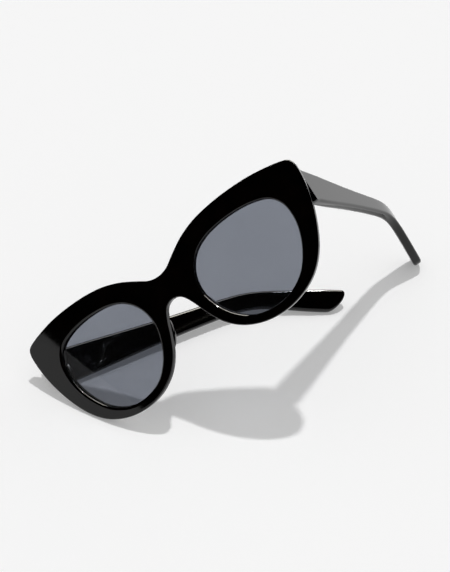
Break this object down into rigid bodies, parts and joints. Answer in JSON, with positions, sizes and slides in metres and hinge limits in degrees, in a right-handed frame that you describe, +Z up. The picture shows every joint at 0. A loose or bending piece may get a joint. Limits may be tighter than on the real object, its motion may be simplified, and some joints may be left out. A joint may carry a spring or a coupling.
{
  "type": "cat eye sunglasses",
  "caption": "Cat eye sunglasses with a thick acetate front, tinted lenses, and temples that fold on sunk five-barrel hinges, lying as set down.",
  "frame": {"origin": "on the table that the glasses lie on, at the middle of the footprint's box, with the glasses as set down: on the right rim and the tips of both temples", "axes": "+Z up from the table; +X to the raised left side of the front; +Y away from the viewer who faces the front. Seen upright, the glasses' own axes are pitched 42.29 degrees back, rolled 40.42 degrees to lift the wearer's left, and turned 3 degrees about +Z"},
  "size_m": [0.1676, 0.1122, 0.1075],
  "materials": {
    "acetate": "polished black",
    "tinted_lens": "polished smoke grey",
    "hinge_steel": "satin"
  },
  "bodies": {
    "front": {"front_frame": "acetate", "lens_left": "tinted_lens", "nose_pad_left": "acetate", "front_hinge_leaf_left": "hinge_steel", "hinge_screw_left": "hinge_steel", "lens_right": "tinted_lens", "nose_pad_right": "acetate", "front_hinge_leaf_right": "hinge_steel", "hinge_screw_right": "hinge_steel"},
    "left_temple": {"temple_left": "acetate", "temple_hinge_leaf_left": "hinge_steel", "core_wire_left": "hinge_steel"},
    "right_temple": {"temple_right": "acetate", "temple_hinge_leaf_right": "hinge_steel", "core_wire_right": "hinge_steel"}
  },
  "joints": [
    {"name": "left_temple_fold", "type": "hinge", "parent": "front", "child": "left_temple", "pos_m": [0.02944, -0.01917, 0.09407], "axis": [-0.5142, 0.6469, 0.5632], "range_deg": [0, 28]},
    {"name": "right_temple_fold", "type": "hinge", "parent": "front", "child": "right_temple", "pos_m": [-0.07122, -0.02445, 0.00822], "axis": [0.5142, -0.6469, -0.5632], "range_deg": [-38.63, 43.5]}
  ]
}
